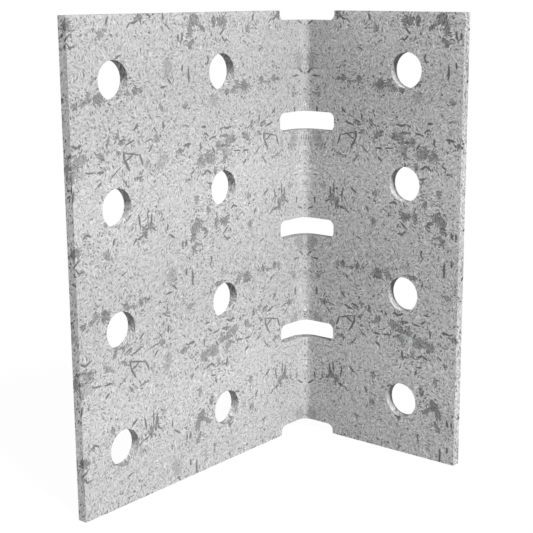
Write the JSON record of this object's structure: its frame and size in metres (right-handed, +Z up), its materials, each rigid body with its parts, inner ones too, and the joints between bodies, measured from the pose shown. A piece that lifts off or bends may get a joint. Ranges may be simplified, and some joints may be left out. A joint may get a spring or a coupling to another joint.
{
  "type": "angle bracket",
  "caption": "Folded galvanised steel angle bracket with a wide and a narrow leg, punched bolt holes and relief slots across the fold; joins members at a right angle.",
  "frame": {"origin": "on the foot, at the middle of the bracket's outline seen from above", "axes": "+Z up along the fold; +Y out of the wide leg's outer face; +X out of the narrow leg's outer face; the inside of the fold looks to -X and -Y"},
  "size_m": [0.1024, 0.0624, 0.14],
  "materials": {
    "galvanised_steel": "hot-dip galvanised, fine mottled spangle, satin"
  },
  "bodies": {
    "root": {"angle_bracket": "galvanised_steel"}
  },
  "joints": []
}
